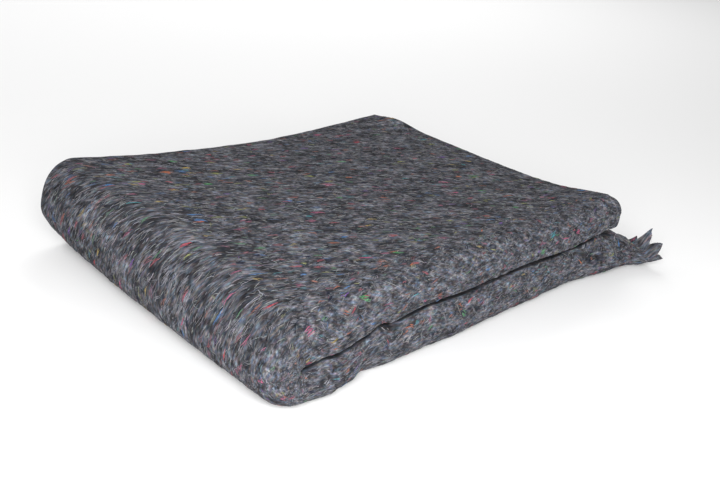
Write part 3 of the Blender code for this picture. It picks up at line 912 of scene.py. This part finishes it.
def model_fibre():
    """A three-sided rod with drawn-out ends, as corner points and faces."""
    bpy.ops.object.select_all(action="DESELECT")
    bpy.ops.mesh.primitive_cylinder_add(vertices=3, radius=0.5, depth=ROD, end_fill_type="NGON",
                                        rotation=(0.0, math.radians(90), 0.0))
    fibre = bpy.context.object
    bpy.ops.object.transform_apply(location=True, rotation=True, scale=True)
    for side in (-1.0, 1.0):
        bpy.ops.object.mode_set(mode="EDIT")
        bpy.ops.mesh.select_mode(type="FACE")
        bpy.ops.mesh.select_all(action="DESELECT")
        bpy.ops.object.mode_set(mode="OBJECT")
        for face in fibre.data.polygons:
            face.select = face.normal.x * side > 0.9
        bpy.ops.object.mode_set(mode="EDIT")
        outward = {"value": (POINT * side, 0.0, 0.0)}
        bpy.ops.mesh.extrude_region_move(TRANSFORM_OT_translate=outward)
        tip = ((ROD / 2 + POINT) * side, 0.0, 0.0)
        bpy.ops.transform.resize(value=(1.0, POINTED, POINTED), center_override=tip)
        bpy.ops.object.mode_set(mode="OBJECT")
    corners = np.array([vertex.co[:] for vertex in fibre.data.vertices])
    faces = [tuple(face.vertices) for face in fibre.data.polygons]
    bpy.data.objects.remove(fibre, do_unlink=True)
    return corners, faces


fibre_corners, fibre_faces = model_fibre()
print("one fibre:", len(fibre_corners), "corners,", len(fibre_faces), "faces")

# %% [markdown]
# The fibres lie where the felt shows: over the top, round the last roll and both side
# rolls, on the loops and on the loose end. Each area is given in the flat sheet's own
# measures, with how thickly the fibres lie there: the side rolls and the loose end are
# rubbed most. None reach into the gap between the bundles, which stays a clean dark line,
# and none hang past the pinked teeth, because the blade cut them with the cloth.

# %% Where fibres show
BY_ROLL = SIDE_START - 0.035         # the rubbed part of the top begins here
BY_GAP = SIDE_END - 0.0030           # and the gap between the bundles here
BY_LOOPS = HALF_LENGTH + LOOP_ARC / 4    # half-way round the looped ends
SHOWN = [
    # along_from  along_to                     across_from         across_to           crowd
    (ROLL_START,  BY_LOOPS,                    0.003,              BY_ROLL,            1.0),
    (ROLL_START,  BY_LOOPS,                    BY_ROLL,            SIDE_START,         1.5),
    (ROLL_START,  BY_LOOPS,                    SIDE_START,         BY_GAP,             1.5),
    (0.052,       ROLL_START,                  SIDE_START + 0.002, BY_GAP,             1.5),
    (0.0,         0.052,                       SIDE_START - 0.030, SIDE_END + 0.006,   2.0),
    (LOOP_START,  HALF_LENGTH + LOOP_ARC / 2,  SIDE_END,           FLAT_WIDTH - 0.003, 1.0),
]
BEHIND_TEETH = 0.002       # no fibre's middle is nearer to the zigzag than this


def scatter(draw, count):
    """Random places on the shown areas, as crowded as the table says, none past a tooth."""
    table = np.array(SHOWN)
    corners = [to_true(area[:2], area[2:4]) for area in table]
    areas = np.array([(a[1] - a[0]) * (b[1] - b[0]) for a, b in corners]) * table[:, 4]
    zone = draw.choice(len(SHOWN), count, p=areas / areas.sum())
    low_a, high_a = np.array([(a[0], a[1]) for a, b in corners])[zone].T
    low_b, high_b = np.array([(b[0], b[1]) for a, b in corners])[zone].T
    a, b = draw.uniform(low_a, high_a), draw.uniform(low_b, high_b)
    along, across = to_flat(a, b)
    tooth = to_true(tooth_depth(across), across)[0] + BEHIND_TEETH
    return np.where(along < FIRST_ROW, np.maximum(a, tooth), a), b


print("areas where fibres show:", len(SHOWN))

# %% [markdown]
# Each copy is bent, stretched and turned while it is still flat, in the cloth's true
# lengths, and then goes through the folds. Its two ends are sunk a little in the felt, as
# a real fibre's are, so no fibre floats.

# %% Lay many fibres
SUNK_ENDS = 0.00012        # a fibre's two ends lie this deep in the felt
PAST_CUT = 0.0003          # and it may reach this far past the cut edge


def lay_fibres(name, a, b, turn, length, bend, width, loft, dye):
    """Lay one copy of the fibre at each place, and keep its dye as a colour attribute."""
    along, side, up = fibre_corners.T
    a, b, turn, length, bend, width, loft = (
        each[:, None] for each in (a, b, turn, length, bend, width, loft))
    heading = turn + bend * along
    a = a + length * along * np.cos(heading) - width * side * np.sin(turn)
    b = b + length * along * np.sin(heading) + width * side * np.cos(turn)
    lift = loft * (1 - 4 * along ** 2) - SUNK_ENDS + 0.5 * width * up
    a, b = np.clip(a, 0.0, length_along[-1]), np.clip(b, 0.0, length_across[-1])
    along, across = to_flat(a.ravel(), b.ravel())
    along = np.maximum(along, tooth_depth(across) - PAST_CUT)
    return fibre_mesh(name, outside(along, across, lift.ravel()), dye)


def fibre_mesh(name, points, dye):
    """Join the copies into one mesh object."""
    count, size = len(dye), len(fibre_corners)
    faces = [tuple(corner + size * copy for corner in reversed(face))
             for copy in range(count) for face in fibre_faces]
    mesh = bpy.data.meshes.new(name)
    mesh.from_pydata(points.tolist(), [], faces)
    colours = np.ones((count * size, 4), dtype=np.float32)
    colours[:, :3] = np.repeat(dye, size, axis=0)
    mesh.attributes.new("dye", "FLOAT_COLOR", "POINT").data.foreach_set("color", colours.ravel())
    mesh.shade_smooth()
    made = bpy.data.objects.new(name, mesh)
    bpy.context.scene.collection.objects.link(made)
    print(name, count, "fibres,", sum(len(face) - 2 for face in faces), "triangles")
    return made


print(f"the ends are sunk {1000 * SUNK_ENDS:.2f} mm")

# %% [markdown]
# Round the last roll the fibres are longer and keep close to the grain. On the top they
# are short and ruffled, and round the side rolls they lie along the roll more than round
# it. One in ten lies just anyhow.

# %% Which way the fibres lie
ROLL_ZONE = 0.045          # from a side roll's middle, where the fibres keep to the roll
ROLL_SPREAD = 0.55         # radians; how far they stray from the roll's direction there
STRAY_SHARE, STRAY_TURN = 0.10, 1.6
GRAIN_STEP = 0.002         # the grain's direction is read over this distance


def turns(draw, a, b, spread):
    """Headings on the cloth: with the grain, or along the roll near a side roll."""
    slope_a = grain(a - GRAIN_STEP, b)[1] - grain(a + GRAIN_STEP, b)[1]
    slope_b = grain(a, b + GRAIN_STEP)[1] - grain(a, b - GRAIN_STEP)[1]
    turn = np.arctan2(slope_a, slope_b) + draw.normal(0.0, spread, len(b))
    loose = np.abs(b - SIDE_MIDDLE) < ROLL_ZONE
    turn = np.where(loose, draw.normal(0.0, ROLL_SPREAD, len(b)), turn)
    stray = draw.random(len(b)) < STRAY_SHARE
    turn = np.where(stray, draw.uniform(-STRAY_TURN, STRAY_TURN, len(b)), turn)
    return turn, loose | stray


print(f"fibres keep to the side roll within {1000 * ROLL_ZONE:.0f} mm of its middle")

# %% [markdown]
# ## Pale and dark fibres
# Most loose fibres have no dye left: they are what the rags' whites and blacks became.
# The pale ones catch the light, and the dark ones lie like small shadows between them.

# %% Pale and dark loose fibres
FIBRE_LENGTH, LENGTH_SPREAD = 0.0058, 0.45       # the middle length, and its log spread
RUFFLED, LESS_COMBED = 0.42, 0.24    # radians off the grain on the top, less at the roll
LONGER_COMBED, SHORTER_LOOSE = 0.6, 0.95
FIBRE_BEND, THIN_LOOSE = 0.60, 0.7
GREY_SPREAD, GREY_CAST = 0.05, (0.0, 0.0, 0.06)
DARKEST, PALEST = 0.01, 0.9          # no fibre is darker or paler than these


def loose_fibres(name, count, seed, greys, widths, loft):
    """Single fibres of plain grey, each with its own place, turn, length and bend."""
    draw = np.random.default_rng(seed)
    a, b = scatter(draw, count)
    turn, loose = turns(draw, a, b, RUFFLED - LESS_COMBED * combed(a))
    length = draw.lognormal(math.log(FIBRE_LENGTH), LENGTH_SPREAD, count)
    length = length * np.where(loose, SHORTER_LOOSE, 1.0 + LONGER_COMBED * combed(a))
    bend = draw.normal(0.0, FIBRE_BEND, count)
    width = draw.uniform(*widths, count) * np.where(loose, THIN_LOOSE, 1.0)
    loft = draw.uniform(*loft, count)
    grey = draw.uniform(*greys, count)
    cast = draw.normal(0.0, GREY_SPREAD, (count, 3)) + np.array(GREY_CAST)
    dye = np.clip(grey[:, None] * (1 + cast), DARKEST, PALEST)
    return lay_fibres(name, a, b, turn, length, bend, width, loft, dye)


pale_fibres = loose_fibres("pale_fibres", 9000, 21, greys=(0.08, 0.23),
                           widths=(0.00040, 0.00090), loft=(0.00015, 0.00040))
dark_fibres = loose_fibres("dark_fibres", 5000, 22, greys=(0.008, 0.03),
                           widths=(0.00045, 0.00100), loft=(0.00015, 0.00030))

# %% [markdown]
# ## Flecks of old dye
# The rags were of every colour, and here and there a tuft keeps its dye: red, orange,
# blue, green, pink, yellow. Each fleck is a few short fibres of one dye side by side, so
# one function lays them all. Bold ones are few, faint ones many, and the commonest tufts
# are simply paler or darker grey than the mat they lie in.

# %% Coloured flecks
DYES = [
    # red   green  blue   share
    (0.42,  0.035, 0.055, 0.17),    # red
    (0.50,  0.130, 0.035, 0.12),    # orange
    (0.50,  0.085, 0.190, 0.12),    # pink
    (0.045, 0.170, 0.400, 0.14),    # blue
    (0.050, 0.280, 0.320, 0.08),    # teal
    (0.070, 0.300, 0.100, 0.09),    # green
    (0.350, 0.380, 0.060, 0.10),    # lime
    (0.560, 0.400, 0.060, 0.05),    # yellow
    (0.170, 0.070, 0.330, 0.06),    # purple
    (0.480, 0.475, 0.500, 0.05),    # off-white
]
GREYS = [
    # red    green   blue    share
    (0.150,  0.150,  0.170,  0.45),
    (0.210,  0.212,  0.240,  0.15),
    (0.016,  0.016,  0.020,  0.25),
    (0.010,  0.012,  0.026,  0.15),
]
FADED = (0.09, 0.09, 0.105)      # the grey of the mat, towards which a dye fades
TUFT_TURN = 0.14           # radians; how far a tuft, and each fibre in it, is turned
TUFT_SPREAD, TUFT_WIDTH = 0.0012, 0.00011    # along it, and across it for each fibre
TUFT_LENGTH_SPREAD, TUFT_SHORTER_LOOSE, TUFT_LONGER_COMBED = 0.35, 0.7, 0.5
TUFT_BEND, TUFT_FIBRE_BEND = 0.4, 0.12
UNEVEN_DYE = (0.75, 1.2)
TUFT_WIDTHS, TUFT_LOFTS = (0.0004, 0.0008), (0.0003, 0.0006)


def flecks(name, dyes, count, seed, fades, middle_length, fewest, most):
    """Tufts of a few fibres of one dye, faded towards the felt's grey."""
    draw = np.random.default_rng(seed)
    table = np.array(dyes)
    tuft_a, tuft_b = scatter(draw, count)
    tuft_turn, tuft_loose = turns(draw, tuft_a, tuft_b, TUFT_TURN)
    tuft_dye = table[draw.choice(len(table), count, p=table[:, 3] / table[:, 3].sum()), :3]
    fade = draw.uniform(*fades, count)[:, None]
    tuft_dye = tuft_dye * (1 - fade) + np.array(FADED) * fade
    tuft = np.repeat(np.arange(count), draw.integers(fewest, most, count))
    size = len(tuft)
    a = tuft_a[tuft] + draw.normal(0.0, TUFT_SPREAD, size)
    b = tuft_b[tuft] + draw.normal(0.0, TUFT_WIDTH * most, size)
    turn = tuft_turn[tuft] + draw.normal(0.0, TUFT_TURN, size)
    length = draw.lognormal(math.log(middle_length), TUFT_LENGTH_SPREAD, size)
    longer = 1.0 + TUFT_LONGER_COMBED * combed(tuft_a[tuft])
    length = length * np.where(tuft_loose[tuft], TUFT_SHORTER_LOOSE, longer)
    dye = np.clip(tuft_dye[tuft] * draw.uniform(*UNEVEN_DYE, (size, 1)), DARKEST, PALEST)
    bend = draw.normal(0.0, TUFT_BEND, count)[tuft] + draw.normal(0.0, TUFT_FIBRE_BEND, size)
    width, loft = draw.uniform(*TUFT_WIDTHS, size), draw.uniform(*TUFT_LOFTS, size)
    return lay_fibres(name, a, b, turn, length, bend, width, loft, dye)


FLECKS = [
    # name            dyes   tufts  seed  faded_by      length  fewest  under
    ("bold_flecks",   DYES,  26,    37,   (0.30, 0.60), 0.0085, 7,      14),
    ("bright_flecks", DYES,  190,   31,   (0.15, 0.70), 0.0080, 2,      5),
    ("faint_flecks",  DYES,  1050,  32,   (0.62, 0.88), 0.0070, 2,      6),
    ("grey_tufts",    GREYS, 1200,  33,   (0.0, 0.5),   0.0068, 4,      9),
]
bold_flecks, bright_flecks, faint_flecks, grey_tufts = [flecks(*row) for row in FLECKS]

# %% [markdown]
# The fibres are dyed through, so their colour is simply the kept attribute, with a
# little darkening and lightening along each one. They are as matt as the felt.

# %% The fibre material
def fibre_material(name, roughness):
    """Dyed fibre: the colour attribute, unevenly dark along the fibre."""
    made = bpy.data.materials.new(name)
    made.use_nodes = True
    tree = made.node_tree
    shader = tree.nodes["Principled BSDF"]
    dye = add_node(tree, "ShaderNodeAttribute", attribute_name="dye").outputs["Color"]
    place = add_node(tree, "ShaderNodeTexCoord").outputs["Object"]
    uneven = add_node(tree, "ShaderNodeTexNoise", {"Vector": place, "Scale": 420.0, "Detail": 1.0})
    shade = stepped(tree, uneven.outputs["Fac"], (0.3, 0.7), UNEVEN_DYE)
    tree.links.new(scaled(tree, dye, shade), shader.inputs["Base Color"])
    shader.inputs["Roughness"].default_value = roughness
    shader.inputs["Specular IOR Level"].default_value = 0.2
    return made


FIBRE_FINISHES = [
    # piece         material        roughness
    (pale_fibres,   "pale_fibre",   0.85),
    (dark_fibres,   "dark_fibre",   0.95),
    (grey_tufts,    "tuft_fibre",   0.90),
    (bold_flecks,   "bold_fleck",   0.85),
    (bright_flecks, "bright_fleck", 0.85),
    (faint_flecks,  "faint_fleck",  0.90),
]
for piece, title, roughness in FIBRE_FINISHES:
    piece.data.materials.append(fibre_material(title, roughness))
print("fibre materials:", len(FIBRE_FINISHES))

# %% [markdown]
# ## The floor
# The blanket lies on a plain pale floor.

# %% Floor
FLOOR_SIZE, FLOOR_DROP, FLOOR_GREY = 14.0, 0.0002, 0.86
bpy.ops.object.select_all(action="DESELECT")
bpy.ops.mesh.primitive_plane_add(size=FLOOR_SIZE, location=(0.0, 0.0, -FLOOR_DROP))
floor = bpy.context.object
floor.name = "studio_floor"
floor_paint = bpy.data.materials.new("pale_floor")
floor_paint.use_nodes = True
floor_shader = floor_paint.node_tree.nodes["Principled BSDF"]
floor_shader.inputs["Base Color"].default_value = (FLOOR_GREY, FLOOR_GREY, FLOOR_GREY, 1.0)
floor_shader.inputs["Roughness"].default_value = 0.9
floor.data.materials.append(floor_paint)
print(f"floor: {FLOOR_SIZE:.0f} m each way")

# %% [markdown]
# ## Light
# A large soft source stands low beside the camera, so the rolls that face it are brighter
# than the top, and a weaker one lifts the long front side. Two washes keep the floor even
# behind the stack, and a pale surround fills the rest.

# %% Light
def soft_light(name, place, target, size, power):
    """A square soft source turned towards a target."""
    bpy.ops.object.light_add(type="AREA", location=place)
    lamp = bpy.context.object
    lamp.name = name
    lamp.data.shape = "SQUARE"
    lamp.data.size = size
    lamp.data.energy = power
    away = np.array(place) - np.array(target)
    tilt = math.acos(away[2] / np.linalg.norm(away))
    lamp.rotation_euler = (tilt, 0.0, math.atan2(away[0], -away[1]))


LIGHTS = [
    # name              place                    target            size  power
    ("key_softbox",      (-0.843, -0.843, 0.634), (0.0, 0.0, 0.05), 0.8,  25.5),
    ("low_softbox",      (0.119, -1.364, 0.291),  (0.0, 0.0, 0.05), 0.5,  5.4),
    ("floor_wash_right", (1.3, 1.3, 1.4),         (1.3, 1.3, 0.0),  1.6,  19.0),
    ("floor_wash_left",  (-0.6, 1.7, 1.4),        (-0.6, 1.7, 0.0), 1.4,  10.5),
]
for row in LIGHTS:
    soft_light(*row)
surround = bpy.data.worlds.new("pale_surround")
surround.use_nodes = True
sky = surround.node_tree.nodes["Background"]
sky.inputs["Color"].default_value = (1.0, 1.0, 1.0, 1.0)
sky.inputs["Strength"].default_value = 0.4
bpy.context.scene.world = surround
bpy.context.scene.view_settings.view_transform = "Standard"
print("soft lights:", len(LIGHTS))

# %% [markdown]
# ## Camera
# The camera stands a metre from the stack, a little above it, opposite its front corner,
# so that the last roll, the side rolls and the loose end all show.

# %% Camera
CAMERA_PLACE = (-0.6464, -0.6322, 0.4339)
CAMERA_TURN = [math.radians(degrees) for degrees in (65.353, -4.880, -42.935)]
SENSOR, LENS = 36.0, 46.177      # millimetres
bpy.ops.object.camera_add(location=CAMERA_PLACE, rotation=CAMERA_TURN)
camera = bpy.context.object
camera.name = "studio_camera"
camera.data.sensor_width = SENSOR
camera.data.lens = LENS
bpy.context.scene.camera = camera
print(f"camera: {math.dist(CAMERA_PLACE, (0.0, 0.0, 0.0)):.2f} m from the middle")

# %% [markdown]
# ## Joining it to the frame
# The folded cloth stands for the imported solid, the loose fibres go with it, and all of
# it rides on the one body.

# %% Ride, replace
fibres = [pale_fibres, dark_fibres, grey_tufts, bold_flecks, bright_flecks, faint_flecks]
for piece in [blanket, *fibres]:
    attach(piece, "root")
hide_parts("blanket")
print("pieces on the body:", 1 + len(fibres))
